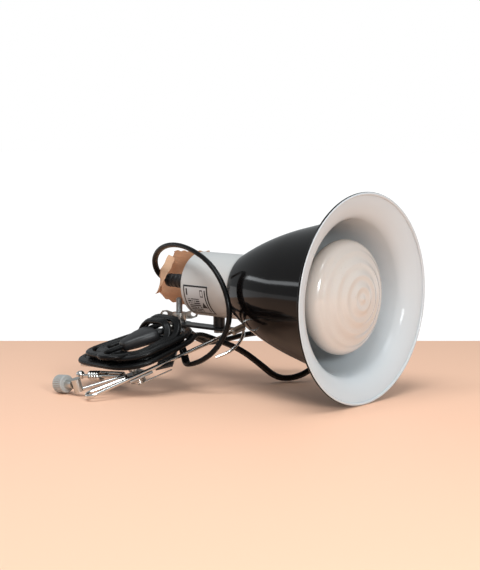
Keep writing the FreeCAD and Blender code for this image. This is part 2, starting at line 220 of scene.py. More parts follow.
finishes = {
    "enamelWhite": (0.56, 0.605, 0.63),
    "enamelBlack": (0.004, 0.0035, 0.0035),
    "glaze": (0.60, 0.565, 0.525),
    "glazeSpeck": (0.42, 0.33, 0.26),
    "porcelain": (0.74, 0.72, 0.68),
    "plasticGrey": (0.53, 0.53, 0.52),
    "knobGrey": (0.36, 0.37, 0.36),
    "glandBlack": (0.014, 0.014, 0.015),
    "plugBlack": (0.013, 0.013, 0.014),
    "sleeveBlack": (0.012, 0.012, 0.013),
    "pvcBlack": (0.004, 0.004, 0.0042),
    # black coat of the strap, arm and spacer, made this dark partly as painted shade under the housing
    "coatBlackAndPaintedShade": (0.016, 0.016, 0.017),
    "brightWire": (0.74, 0.74, 0.73),
    "pinMetal": (0.42, 0.40, 0.36),
    "steel": (0.62, 0.62, 0.60),
    "zinc": (0.50, 0.51, 0.52),
    "aluminium": (0.72, 0.72, 0.73),
    "brass": (0.62, 0.45, 0.20),
    "kraft": (0.44, 0.225, 0.125),
    "pulp": (0.58, 0.33, 0.20),
    "paleFibre": (0.66, 0.45, 0.30),
    "labelSilver": (0.52, 0.53, 0.54),
    "labelInk": (0.02, 0.02, 0.022),
}


# a colour made a little darker or lighter by a noise
def varied(paint, colour, amount, scale, stretch=(1, 1, 1)):
    low = tuple(c * (1 - amount) for c in colour)
    high = tuple(min(1.0, c * (1 + amount)) for c in colour)
    return paint.mix(paint.noise(scale, stretch=stretch), low, high)


def enamel():
    paint = Paint("vitreousEnamel", IOR=1.26)
    inside = paint.attribute("inside")
    white = varied(paint, finishes["enamelWhite"], 0.03, 18)
    black = varied(paint, finishes["enamelBlack"], 0.25, 40)
    paint.set("Base Color", paint.mix(inside, black, white))
    paint.set("Roughness", 0.06 + 0.06 * paint.noise(30))
    paint.bump(paint.noise(90, detail=2), 0.00005, 0.25)
    return paint.material


def glazed():
    paint = Paint("creamGlaze", Coat_Weight=0.8, Coat_Roughness=0.04, IOR=1.5)
    paint.set("Subsurface Weight", 0.06)
    paint.set("Subsurface Radius", (0.004, 0.003, 0.002))
    specks = paint.noise(900, detail=1) > 0.72
    body = varied(paint, finishes["glaze"], 0.05, 26)
    paint.set("Base Color", paint.mix(specks * 0.25, body, finishes["glazeSpeck"]))
    paint.set("Roughness", 0.13 + 0.10 * paint.noise(50))
    paint.bump(paint.noise(220, detail=3), 0.0001, 0.3)
    return paint.material


def moulded(name, colour, roughness, grain=1600, depth=0.00004):
    paint = Paint(name, IOR=1.47)
    paint.set("Base Color", varied(paint, colour, 0.05, 22))
    paint.set("Roughness", roughness + 0.12 * paint.noise(60))
    paint.bump(paint.noise(grain, detail=2), depth, 0.5)
    return paint.material


def metal(name, colour, roughness, stretch=(1, 1, 1), tarnish=0.12):
    paint = Paint(name, Metallic=1.0)
    wear = paint.noise(35, detail=5, roughness=0.65)
    dull = tuple(c * (1 - tarnish) * k for c, k in zip(colour, (0.86, 0.84, 0.80)))
    paint.set("Base Color", paint.mix(wear, dull, colour))
    paint.set("Roughness", roughness + 0.16 * paint.noise(420, stretch=stretch))
    paint.bump(paint.noise(700, detail=4, stretch=stretch), 0.00003, 0.4)
    return paint.material


def sleevedPin():
    paint = Paint("sleevedPin", IOR=1.5)
    sleeve = paint.attribute("sleeve")
    paint.set("Base Color", paint.mix(sleeve, finishes["pinMetal"], finishes["sleeveBlack"]))
    paint.set("Metallic", 1 - sleeve)
    paint.set("Roughness", 0.26 + 0.12 * sleeve + 0.1 * paint.noise(300))
    return paint.material


def cordSheath():
    paint = Paint("blackCordSheath", IOR=1.25)
    paint.set("Base Color", varied(paint, finishes["pvcBlack"], 0.3, 120))
    paint.set("Roughness", 0.2 + 0.16 * paint.noise(240))
    paint.bump(paint.noise(1500, detail=2), 0.00005, 0.35)
    return paint.material


# brown kraft board: fibres run one way, the torn edge shows paler pulp
def kraftBoard(name, colour, pale):
    paint = Paint(name, IOR=1.35)
    fibres = paint.noise(260, detail=6, roughness=0.7, stretch=(1, 1, 4))
    patches = paint.noise(45, detail=4)
    dark, light = tuple(c * 0.72 for c in colour), tuple(min(1, c * 1.3) for c in colour)
    tone = paint.mix(fibres, dark, light)
    paint.set("Base Color", paint.mix(patches * pale, tone, finishes["paleFibre"]))
    paint.set("Roughness", 0.82 + 0.15 * fibres)
    paint.bump(fibres + patches * 0.6, 0.0003, 0.6)
    return paint.material


# a plain silver label: a black frame, rows of short dashes, two bars and two plain shapes
def labelPrint():
    paint = Paint("printedLabel", IOR=1.45, Roughness=0.42)
    across, down = paint.uv()

    def within(value, low, high):
        return (value > low) * (value < high)

    rowCount, dashCount = 13, 30
    frameMask = 1 - within(across, 0.045, 0.955) * within(down, 0.05, 0.95)
    rows = (down * rowCount).math("FRACT") < 0.6
    where = paint.node("CombineXYZ", {}, {0: across * dashCount, 1: (down * rowCount).math("FLOOR"), 2: 0.0})
    words = paint.node("TexWhiteNoise", {"noise_dimensions": "2D"}, {
        "Vector": paint.node("VectorMath", {"operation": "FLOOR"}, {0: where}),
    }) > 0.22
    text = rows * words * within(across, 0.12, 0.60) * within(down, 0.40, 0.90)
    bars = within(down, 0.10, 0.30) * within(across, 0.10, 0.16)
    bars = bars + within(down, 0.12, 0.88) * within(across, 0.86, 0.91)
    square = within(across, 0.68, 0.80) * within(down, 0.12, 0.34)
    hollow = within(across, 0.70, 0.78) * within(down, 0.155, 0.305)
    slant = (down - 0.50) * 0.5
    triangle = within(down, 0.50, 0.72) * ((across - 0.74).math("ABSOLUTE") < slant)
    ink = (frameMask + text + bars + (square - hollow) + triangle).math("MINIMUM", 1.0)
    silver = varied(paint, finishes["labelSilver"], 0.04, 60)
    paint.set("Base Color", paint.mix(ink, silver, finishes["labelInk"]))
    paint.bump(ink, 0.00002, 0.4)
    return paint.material


# pale peach in front of the table's back edge, and white backdrop behind it
def floorPaint(facts):
    paint = Paint("paleFloor", Roughness=0.6)
    start, end = place(cameraPlace["from"]), place(cameraPlace["to"])
    view = (end - start) * (1, 1, 0)
    view /= np.linalg.norm(view)
    given = {0: paint.here(), 1: tuple(view)}
    depth = paint.node("VectorMath", {"operation": "DOT_PRODUCT"}, given, "Value")
    behind = depth > float(end @ view) + facts["tableEdge"]
    paint.set("Base Color", paint.mix(behind, facts["peach"], (0.0, 0.0, 0.0)))
    paint.set("Emission Color", paint.mix(behind, (0.0, 0.0, 0.0), (1.0, 1.0, 1.0)))
    paint.set("Emission Strength", 1.0)
    return paint.material


paints = {
    "enamel": enamel(),
    "glaze": glazed(),
    "housing": moulded("greyHousingPlastic", finishes["plasticGrey"], 0.34),
    "gland": moulded("blackGlandRubber", finishes["glandBlack"], 0.42, 900),
    "plug": moulded("blackPlugPlastic", finishes["plugBlack"], 0.36, 1100),
    "knob": moulded("greyKnobPlastic", finishes["knobGrey"], 0.5, 1100, 0.00008),
    "cord": cordSheath(),
    "pins": sleevedPin(),
    "wire": metal("brightWire", finishes["brightWire"], 0.10),
    "steel": metal("pressedSteel", finishes["steel"], 0.26),
    # strap, arm and spacer: a black coat that also stands in part for the shade under the housing
    "coatAndPaintedShade": moulded("blackCoatedSteelAndPaintedShade", finishes["coatBlackAndPaintedShade"], 0.3, 700),
    "zinc": metal("zincPlate", finishes["zinc"], 0.30, tarnish=0.2),
    "brass": metal("brassPart", finishes["brass"], 0.24),
    "aluminium": metal("aluminiumShell", finishes["aluminium"], 0.28, (1, 1, 12)),
    "porcelain": moulded("whitePorcelain", finishes["porcelain"], 0.22, 500),
    "kraft": kraftBoard("kraftBoard", finishes["kraft"], 0.25),
    "pulp": kraftBoard("tornPulp", finishes["pulp"], 0.75),
    "label": labelPrint(),
}
print("materials")


# surfaces

bodyOf = {name: body for body, names in frame["record"]["behaviour"]["bodies"].items() for name in names}


def addObject(name, mesh, paint, body):
    made = bpy.data.objects.new(name, mesh)
    bpy.context.scene.collection.objects.link(made)
    mesh.materials.append(paint)
    if body:
        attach(made, body)
    return made


# a finished piece that stands for CAD nodes: it rides with the first and hides them
def standIn(name, mesh, paint, *names):
    made = addObject(name, mesh, paint, bodyOf[names[0]])
    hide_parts(*names)
    return made


# a grid of points as faces: rows follow the first parameter, columns the second, and a wrapped one is closed
def gridMesh(name, points, wrapRows=False, wrapColumns=False, caps=False):
    rows, columns = points.shape[:2]
    index = np.arange(rows * columns).reshape(rows, columns)
    index = np.concatenate([index, index[:1]], 0) if wrapRows else index
    index = np.concatenate([index, index[:, :1]], 1) if wrapColumns else index
    quads = np.stack([index[:-1, :-1], index[1:, :-1], index[1:, 1:], index[:-1, 1:]], -1)
    down, over = np.mgrid[0 : index.shape[0] - 1, 0 : index.shape[1] - 1]
    corners = [(over, down), (over, down + 1), (over + 1, down + 1), (over + 1, down)]
    share = [np.stack([o / (index.shape[1] - 1), d / (index.shape[0] - 1)], -1) for o, d in corners]
    faces = quads.reshape(-1, 4).tolist()
    uv = np.stack(share, 2).reshape(-1, 2)
    if caps:
        ends = [index[0, :columns][::-1].tolist(), index[-1, :columns].tolist()]
        faces += ends
        uv = np.concatenate([uv, np.zeros((2 * columns, 2))])
    mesh = bpy.data.meshes.new(name)
    mesh.from_pydata(points.reshape(-1, 3).tolist(), [], faces)
    mesh.uv_layers.new(name="grid").data.foreach_set("uv", uv.ravel())
    return mesh


# closes a mesh's seams, points its faces outwards and smooths it up to an angle
def finished(mesh, angle):
    work = bmesh.new()
    work.from_mesh(mesh)
    bmesh.ops.remove_doubles(work, verts=work.verts, dist=weld)
    bmesh.ops.recalc_face_normals(work, faces=work.faces)
    for edge in work.edges:
        edge.smooth = len(edge.link_faces) == 2 and edge.calc_face_angle(0) < math.radians(angle)
    work.to_mesh(mesh)
    work.free()
    mesh.polygons.foreach_set("use_smooth", np.ones(len(mesh.polygons), bool))
    return mesh


# a profile of x and radius turned about the lamp axis: (x, r cos t, r sin t)
def turnedMesh(name, x, r, segments, wrap=False):
    turn = np.linspace(0, 2 * np.pi, segments, endpoint=False)[None, :]
    x, r = np.asarray(x)[:, None], np.asarray(r)[:, None]
    points = np.stack([x + 0 * turn, r * np.cos(turn), axisHeight + r * np.sin(turn)], -1)
    return gridMesh(name, place(points), wrapRows=wrap, wrapColumns=True)


# frames that turn as little as they can: each side axis is the one before it made square to the line
def framesAlong(line, side):
    run = np.gradient(line, axis=0)
    run /= np.linalg.norm(run, axis=1)[:, None]
    sides = np.empty_like(line)
    for k, forward in enumerate(run):
        side = side - forward * side.dot(forward)
        side = side / np.linalg.norm(side)
        sides[k] = side
    return run, sides


# a section carried along a line: point = line + side * section x + (run x side) * section y
def sweptMesh(name, line, section, side=(0, 0, 1), turn=None, scale=None):
    run, sides = framesAlong(line, np.array(side, float))
    ups = np.cross(run, sides)
    if turn is not None:
        cos, sin = np.cos(turn)[:, None], np.sin(turn)[:, None]
        sides, ups = sides * cos + ups * sin, ups * cos - sides * sin
    size = np.ones(len(line)) if scale is None else scale
    flat = section[None] * size[:, None, None]
    points = line[:, None] + sides[:, None] * flat[..., :1] + ups[:, None] * flat[..., 1:]
    return gridMesh(name, points, wrapColumns=True, caps=True)


def circle(radius, count):
    turn = np.linspace(0, 2 * np.pi, count, endpoint=False)
    return radius * np.stack([np.cos(turn), np.sin(turn)], -1)


# the points of a smooth curve that is steered by the given ones
def splineLine(name, points, resolution):
    data = bpy.data.curves.new(name, "CURVE")
    data.dimensions = "3D"
    data.resolution_u = resolution
    spline = data.splines.new("NURBS")
    spline.points.add(len(points) - 1)
    spline.points.foreach_set("co", np.column_stack([points, np.ones(len(points))]).ravel())
    spline.order_u = 3
    spline.use_endpoint_u = True
    holder = bpy.data.objects.new(name, data)
    bpy.context.scene.collection.objects.link(holder)
    mesh = bpy.data.meshes.new_from_object(holder)
    line = np.empty(3 * len(mesh.vertices))
    mesh.vertices.foreach_get("co", line)
    bpy.data.objects.remove(holder)
    bpy.data.curves.remove(data)
    bpy.data.meshes.remove(mesh)
    return line.reshape(-1, 3)


# the clamp's own directions: along the lever, across it, and off its plane

lever = {"end": (-0.1056, 0, 0.0418), "slope": math.radians(18), "heading": math.radians(18.7)}
along = -np.array([
    math.sin(lever["heading"]) * math.cos(lever["slope"]),
    math.cos(lever["heading"]) * math.cos(lever["slope"]),
    math.sin(lever["slope"]),
])
across = np.array([-math.cos(lever["heading"]), math.sin(lever["heading"]), 0])
upright = np.cross(across, along)


# a place on the clamp: a along the lever, b across it, h off its plane
def onClamp(a, b, h=0.0):
    a, b, h = [np.asarray(k, float)[..., None] for k in (a, b, h)]
    return np.array(lever["end"]) + along * a + across * b + upright * h


# mains cord: gland, over the housing, down to the hank, a loop on the floor, the hank again, the plug

cord = {
    "width": 0.0056,
    "thickness": 0.0034,
    "length": 1.78,
    "leadLength": 0.19,
    "leadWide": (0.45, -0.85, 0.2),
    "lead": [
        (-0.1770, 0, 0.0700),
        (-0.1824, 0, 0.0702),
        (-0.1864, -0.0036, 0.0764),
        (-0.1832, -0.0092, 0.0854),
        (-0.1732, -0.0150, 0.0932),
        (-0.1586, -0.0205, 0.0982),
        (-0.1412, -0.0255, 0.0992),
        (-0.1244, -0.0295, 0.0962),
        (-0.1096, -0.0320, 0.0903),
        (-0.0980, -0.0340, 0.0814),
        (-0.0902, -0.0352, 0.0702),
        (-0.0870, -0.0355, 0.0595),
        (-0.0876, -0.0355, 0.0492),
        (-0.0915, -0.0370, 0.0392),
        (-0.0966, -0.0405, 0.0302),
        (-0.1032, -0.0450, 0.0240),
        (-0.1116, -0.0465, 0.0206),
        (-0.1202, -0.0426, 0.0192),
    ],
    "intoHank": [(0.0468, 0.0060, -0.0045), (0.0452, 0.0090, 0.0030), (0.0468, 0.0138, 0.0084)],
    "loop": [
        (-0.1184, -0.0162, 0.0340),
        (-0.1076, -0.0015, 0.0265),
        (-0.1004, 0.0125, 0.0145),
        (-0.0960, 0.0260, 0.0028),
        (-0.0870, 0.0370, 0.0028),
        (-0.0795, 0.0480, 0.0095),
        (-0.0805, 0.0590, 0.0190),
        (-0.0920, 0.0645, 0.0255),
        (-0.1070, 0.0605, 0.0295),
        (-0.1210, 0.0495, 0.0315),
        (-0.1315, 0.0355, 0.0305),
        (-0.1380, 0.0200, 0.0275),
        (-0.1400, 0.0040, 0.0265),
        (-0.1368, -0.0110, 0.0312),
    ],
    "outOfHank": (0.0345, 0.0030, 0.0095),
    "backToHank": (0.0365, 0.0170, 0.0110),
    "toPlug": [
        (0.0905, 0.0080, 0.0140),
        (0.0985, 0.0100, 0.0165),
        (0.1015, 0.0180, 0.0170),
        (0.0975, 0.0245, 0.0165),
        (0.0890, 0.0245, 0.0158),
        (0.0800, 0.0240, 0.0155),
    ],
    "hankCorners": [(0.097, 0.060), (0.088, -0.004), (0.042, 0.002), (0.050, 0.046)],
    "spread": 0.0059,
    "levels": (0.0077, 0.0122),
    "shares": (0.17, 0.5, 0.83),
    "slack": 0.0007,
    "lift": 0.0101,
    "nearFloor": 0.004,
}


# where a corner of the hank goes when its turn is widened by one: both its sides move out alike
def mitres(corners):
    ahead = np.roll(corners, -1, 0) - corners
    ahead /= np.linalg.norm(ahead, axis=1)[:, None]
    out = np.stack([ahead[:, 1], -ahead[:, 0]], -1)
    out *= np.sign(((corners - corners.mean(0)) * out).sum(1))[:, None]
    both = out + np.roll(out, 1, 0)
    return both / (1 + (out * np.roll(out, 1, 0)).sum(1))[:, None]


# turns of the hank, three points to a side: the reach changes evenly from turn to turn, a slow wave
# keeps the turns uneven, and the lifted sides pass over the plug's pins
def hankTurns(facts, order, reaches, level, legs, lifted=()):
    corners = np.array(facts["hankCorners"])
    outward = mitres(corners)
    points = []
    for leg in range(legs):
        here, there = order[leg % 4], order[(leg + 1) % 4]
        for share in facts["shares"]:
            done = (leg + share) / 4
            reach = np.interp(done, range(len(reaches)), reaches)
            reach += facts["slack"] * math.sin(2.3 * leg + 1.1 * share)
            height = level + facts["slack"] * math.sin(1.7 * leg + 2000 * level)
            height += facts["lift"] * (leg in lifted)
            start, end = corners[here] + outward[here] * reach, corners[there] + outward[there] * reach
            a, b = start + (end - start) * share
            points.append(onClamp(a, b, height))
    return points


def cordRoute(facts):
    spread, (low, high) = facts["spread"], facts["levels"]
    points = [np.array(p) for p in facts["lead"]]
    points += [onClamp(*p) for p in facts["intoHank"]]
    points += hankTurns(facts, (2, 3, 0, 1), (-2 * spread, -spread, 0, spread, spread), low, 16)[1:]
    points += [onClamp(*facts["outOfHank"])]
    points += [np.array(p) for p in facts["loop"]]
    points += [onClamp(*facts["backToHank"])]
    points += hankTurns(facts, (3, 2, 1, 0), (spread, 0, -spread, -spread), high, 12, (8,))[2:]
    points += hankTurns(facts, (3, 2, 1, 0), (0.6 * spread, -2 * spread), high, 3, (0,))[:7]
    points += [onClamp(*p) for p in facts["toPlug"]]
    return place(points)


# flat twin section: two round cores side by side with a groove between, x = spread tanh(3 cos t) + r cos t
def twinSection(width, thickness, count=24):
    turn = np.linspace(0, 2 * np.pi, count, endpoint=False)
    radius = thickness / 2
    x = (width / 2 - radius) * np.tanh(3 * np.cos(turn)) / math.tanh(3) + radius * np.cos(turn)
    y = radius * np.sin(turn) * (1 - 0.22 * np.exp(-((x / (0.35 * radius)) ** 2)))
    return np.stack([x, y], -1)


def makeCord(facts):
    line = splineLine("cordLine", cordRoute(facts), 5)
    steps = np.linalg.norm(np.diff(line, axis=0), axis=1)
    line = line[np.concatenate([[True], steps > 10 * weld])]
    run, sides = framesAlong(line, np.array([0.0, 1.0, 0.0]))
    # the wide side lies flat in the hank, and on the lead it faces along one direction
    height = (line - place(lever["end"])) @ upright
    travelled = np.concatenate([[0], np.cumsum(np.linalg.norm(np.diff(line, axis=0), axis=1))])
    onLead = travelled < facts["leadLength"]
    wide = np.where(onLead[:, None], np.array(facts["leadWide"]), np.cross(run, upright))
    angle = np.arctan2((np.cross(run, sides) * wide).sum(1), (sides * wide).sum(1))
    known = np.flatnonzero(onLead | (height > facts["nearFloor"]))
    turn = np.interp(np.arange(len(line)), known, np.unwrap(angle[known] * 2) / 2)
    reach = 8  # the turn is evened out over this many points each way
    window = 2 * reach + 1
    turn = np.convolve(np.pad(turn, reach, mode="edge"), np.ones(window) / window, mode="valid")
    section = twinSection(facts["width"], facts["thickness"])
    mesh = finished(sweptMesh("mains_cord", line, section, (0, 1, 0), turn), 60)
    made = addObject("mains_cord", mesh, paints["cord"], None)
    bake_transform(made)
    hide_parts("cord_lead", "cord_loop", "cord_hank")
    return made, line


# moulded plug: a rounded box that widens from its cord end, |x|^n + |y|^n = 1 in each section
plugForm = {
    "middle": 0.024,
    "height": 0.0155,
    "a": [0.0822, 0.0816, 0.0806, 0.0775, 0.0720, 0.0670, 0.0610, 0.0585, 0.0575, 0.0570],
    "wide": [0.0020, 0.0042, 0.0050, 0.0060, 0.0086, 0.0104, 0.0113, 0.0115, 0.0110, 0.0098],
    "high": [0.0018, 0.0032, 0.0036, 0.0041, 0.0047, 0.0050, 0.0050, 0.0050, 0.0046, 0.0038],
    "roundness": 3.0,
    "pinA": [0.0570, 0.0472, 0.0468, 0.0464, 0.0394, 0.0385, 0.0381, 0.0380],
    "pinRadius": [0.0020, 0.0020, 0.0018, 0.0020, 0.0020, 0.0017, 0.0011, 0.0005],
    "pinMiddles": (0.0155, 0.0325),
    "pinHeight": 0.0166,
    "sleeveEnd": 0.0468,
}


def makePlug(facts):
    turn = np.linspace(0, 2 * np.pi, 40, endpoint=False)
    power = 2 / facts["roundness"]
    x = np.sign(np.cos(turn)) * np.abs(np.cos(turn)) ** power
    y = np.sign(np.sin(turn)) * np.abs(np.sin(turn)) ** power
    a, wide, high = [np.array(facts[key])[:, None] for key in ("a", "wide", "high")]
    points = onClamp(a + 0 * x, facts["middle"] + wide * x, facts["height"] + high * y)
    mesh = finished(gridMesh("moulded_plug", place(points), wrapColumns=True, caps=True), 60)
    return standIn("moulded_plug", mesh, paints["plug"], "plug_body")


# two round pins with black sleeves on their halves next to the plug
def makePins(facts):
    turn = np.linspace(0, 2 * np.pi, 24, endpoint=False)
    a, r = [np.array(facts[key])[:, None] for key in ("pinA", "pinRadius")]
    work = bmesh.new()
    for middle in facts["pinMiddles"]:
        points = onClamp(a + 0 * turn, middle + r * np.cos(turn), facts["pinHeight"] + r * np.sin(turn))
        work.from_mesh(gridMesh("pin", place(points), wrapColumns=True, caps=True))
    mesh = bpy.data.meshes.new("sleeved_pins")
    work.to_mesh(mesh)
    work.free()
    finished(mesh, 50)
    corners = np.empty(3 * len(mesh.vertices))
    mesh.vertices.foreach_get("co", corners)
    reach = (corners.reshape(-1, 3) - place(lever["end"])) @ along
    sleeve = (reach > facts["sleeveEnd"] - 0.0001).astype(float)
    mesh.attributes.new("sleeve", "FLOAT", "POINT").data.foreach_set("value", sleeve)
    return standIn("sleeved_pins", mesh, paints["pins"], "plug_pins")


plug = makePlug(plugForm)
pins = makePins(plugForm)
cordPiece, cordLine = makeCord(cord)
print("cord", round(float(np.linalg.norm(np.diff(cordLine, axis=0), axis=1).sum()), 3))

# shade: an enamelled sheet with a rolled rim, its section carried round the lamp axis

shade = {
    "sheet": 0.0012,
    "bead": 0.0011,
    "rim": 0.07,
    "angles": (84, 54, 13.8, 28.8),
    "bends": (0.0254, 0.012, -0.2125),
    "coneEnd": -0.047,
    "neckHole": 0.0204,
    "whiteTo": 50,
    "beadTurn": (172, -88),
    "points": (28, 20, 24, 36),
    "segments": 192,
}


# a bend of the skin: x + r (sin t - sin start), radius - r (cos t - cos start)
def skinBend(x, r, start, end, bend, count):
    t = np.linspace(start, end, count)
    return x + bend * (np.sin(t) - np.sin(start)), r - bend * (np.cos(t) - np.cos(start)), t


# the inner skin is a wide bend, a tight one, a cone and a hollow bend; the outer one is a sheet further out
def makeShade(facts):
    flare, crease, cone, rear = np.radians(facts["angles"])
    wide, tight, hollow = facts["bends"]
    counts, bead, sheet = facts["points"], facts["bead"], facts["sheet"]
    first = skinBend(-bead, facts["rim"] - bead, flare, crease, wide, counts[0])
    second = skinBend(first[0][-1], first[1][-1], crease, cone, tight, counts[1])
    x = np.linspace(second[0][-1], facts["coneEnd"], counts[2])
    third = (x, second[1][-1] + (x - x[0]) * math.tan(cone), 0 * x + cone)
    last = skinBend(x[-1], third[1][-1], cone, rear, hollow, counts[3])
    x, r, t = [np.concatenate([run[k][1:] for run in (first, second, third, last)]) for k in range(3)]
    outX, outR = x - sheet * np.sin(t), r + sheet * np.cos(t)
    neck = x[-1]
    lipX = [neck, neck - sheet, neck - sheet]
    lipR = [facts["neckHole"], facts["neckHole"], outR[-1] - sheet / 2]
    beadTurn = np.radians(np.linspace(*facts["beadTurn"], 27))
    beadX = bead * (np.cos(beadTurn) - 1)
    beadR = facts["rim"] + bead * (np.sin(beadTurn) - 1)
    profileX = np.concatenate([x, lipX, outX[::-1], beadX])
    profileR = np.concatenate([r, lipR, outR[::-1], beadR])
    white = np.degrees(beadTurn) < facts["whiteTo"]
    inside = np.concatenate([np.ones(len(x)), [1, 0, 0], np.zeros(len(x)), white])
    mesh = turnedMesh("enamel_shade", profileX, profileR, facts["segments"], wrap=True)
    masks = mesh.attributes.new("inside", "FLOAT", "POINT")
    masks.data.foreach_set("value", np.repeat(inside, facts["segments"]))
    return standIn("enamel_shade", finished(mesh, 50), paints["enamel"], "reflector_shade")


makeShade(shade)
print("shade")

# emitter: a hollow ceramic dome with rings pressed into its face

emitter = {
    "dome": ((-0.0015, 0.0), (-0.0038, 0.0170), (-0.0105, 0.0330)),
    "edge": ((-0.0105, 0.0330), (-0.0137, 0.0369), (-0.0180, 0.0384)),
    "back": ((-0.0180, 0.0384), (-0.0238, 0.0366), (-0.0270, 0.0325)),
    "neck": ((-0.0270, 0.0325), (-0.0545, 0.0197), (-0.0840, 0.0155)),
    "points": {"dome": 90, "edge": 14, "back": 16, "neck": 40},
    "facePoints": 100,
    "ringPitch": 0.0078,
    "ringDepth": 0.0008,
    "ringsTo": 0.0335,
    "ringsFade": 0.0008,
}


# points of the circle through three points, evenly spaced from the first to the last
def arcThrough(points, count):
    first, middle, last = [np.array(p) for p in points]
    equations = 2 * np.array([middle - first, last - first])
    centre = np.linalg.solve(equations, [middle @ middle - first @ first, last @ last - first @ first])
    turn = np.unwrap([math.atan2(*(p - centre)[::-1]) for p in (first, middle, last)])
    turn = np.interp(np.linspace(0, 2, count), [0, 1, 2], turn)
    return centre + np.linalg.norm(first - centre) * np.stack([np.cos(turn), np.sin(turn)], -1)


# the face sinks by depth (0.5 - 0.5 cos(2 pi r / pitch)) ^ 0.8, which fades out at the face's edge
def makeEmitter(facts):
    runs = [arcThrough(facts[key], count)[:-1] for key, count in facts["points"].items()]
    end = facts["neck"][-1]
    x, r = np.concatenate(runs + [[end, (end[0], 0.0)]]).T
    face = np.arange(len(x)) < facts["facePoints"]
    fade = 1 / (1 + np.exp((r - facts["ringsTo"]) / facts["ringsFade"]))
    groove = (0.5 - 0.5 * np.cos(2 * np.pi * r / facts["ringPitch"])) ** 0.8
    x = x - face * fade * facts["ringDepth"] * groove
    mesh = turnedMesh("rippled_emitter", x, np.maximum(r, 0), 160)
    return standIn("rippled_emitter", finished(mesh, 70), paints["glaze"], "emitter_body")


makeEmitter(emitter)

# gland: round ribs on a tapering sleeve

gland = {
    "base": -0.145,
    "tip": -0.177,
    "ribs": 8,
    "ribbedShare": 0.92,
    "rib": (0.0063, 0.0046),
    "core": (0.0052, 0.0043),
    "ribFrom": 0.06,
    "ribTo": 0.62,
    "sharpness": 22,
    "collar": 0.0002,
}


# the radius goes from core to rib and back once in each rib, by the difference of two steps tanh(sharpness s)
def makeGland(facts):
    s = np.linspace(0, 1, 22 * facts["ribs"] + 1)
    phase = (s * facts["ribbedShare"] * facts["ribs"]) % 1
    rise, fall = [np.tanh((phase - facts[key]) * facts["sharpness"]) for key in ("ribFrom", "ribTo")]
    bump = 0.5 * (rise - fall)
    x = facts["base"] + (facts["tip"] - facts["base"]) * s
    core, rib = [np.interp(s, (0, 1), facts[key]) for key in ("core", "rib")]
    collar = facts["collar"] * (s > facts["ribbedShare"])
    r = core + (rib - core + collar) * np.where(s > facts["ribbedShare"] + 0.01, 1.0, bump)
    x, r = np.concatenate([x[:1], x, x[-1:]]), np.concatenate([[0], r, [0]])
    mesh = finished(turnedMesh("ribbed_gland", x, r, 64), 50)
    return standIn("ribbed_gland", mesh, paints["gland"], "cord_gland")


makeGland(gland)

# printed label: a thin sheet laid on the housing, from just above its side down towards its underside

label = {"rear": -0.1415, "front": -0.119, "radius": 0.02305, "top": 3, "bottom": -57, "thick": 0.00025}


# part of a cylinder: y = -r cos t, z = axis height + r sin t
def makeLabel(facts):
    turn = np.radians(np.linspace(facts["top"], facts["bottom"], 33))[:, None]
    x = np.linspace(facts["rear"], facts["front"], 13)[None, :] + 0 * turn
    y, z = -facts["radius"] * np.cos(turn) + 0 * x, axisHeight + facts["radius"] * np.sin(turn) + 0 * x
    mesh = gridMesh("printed_label", place(np.stack([x, y, z], -1)))
    made = standIn("printed_label", mesh, paints["label"], "rating_label")
    mesh.polygons.foreach_set("use_smooth", np.ones(len(mesh.polygons), bool))
    thick = made.modifiers.new("thickness", "SOLIDIFY")
    thick.thickness, thick.offset = facts["thick"], -1


makeLabel(label)
print("emitter, gland and label")

# coils and threads

jawCoil = {"start": (0.1003, 0.0313), "end": (0.1042, 0.0414), "turns": 4.2, "radius": 0.0026, "wire": 0.0012}
torsion = {
    "centre": (0.084, 0.009),
    "top": -0.0034,
    "turns": 4,
    "radius": 0.0049,
    "wire": 0.00055,
    "pitch": 0.00113,
    "legEnd": (0.060, 0.0036),
}
stud = {
    "x": -0.167,
    "bottom": 0.0273,
    "head": 0.0305,
    "top": 0.058,
    "radius": 0.0025,
    "headRadius": (0.0042, 0.005),
    "ease": 0.0008,
    "pitch": 0.0008,
    "thread": 0.00042,
}


# a helix: centre + axis along it + radius (cos t, sin t) across it
def helix(start, end, radius, turns):
    axis = (end - start) / np.linalg.norm(end - start)
    one = np.cross(axis, (0.3, 0.1, 1.0))
    one /= np.linalg.norm(one)
    t = np.linspace(0, 1, int(turns * 28))[:, None]
    turn = 2 * np.pi * turns * t
    return start + (end - start) * t + radius * (np.cos(turn) * one + np.sin(turn) * np.cross(axis, one))


def makeCoils(jaw, spring):
    line = helix(onClamp(*jaw["start"]), onClamp(*jaw["end"]), jaw["radius"], jaw["turns"])
    mesh = finished(sweptMesh("jaw_winding", place(line), circle(jaw["wire"], 14)), 60)
    standIn("jaw_winding", mesh, paints["wire"], "jaw_coil")
    drop = spring["turns"] * spring["pitch"]
    middle = [onClamp(*spring["centre"], spring["top"] - k) for k in (0, drop)]
    line = helix(*middle, spring["radius"], spring["turns"])
    leg = np.linspace(line[-1], onClamp(*spring["legEnd"], spring["top"] - drop), 10)[1:]
    line = np.concatenate([line, leg])
    mesh = finished(sweptMesh("spring_winding", place(line), circle(spring["wire"], 10)), 60)
    standIn("spring_winding", mesh, paints["wire"], "torsion_spring")


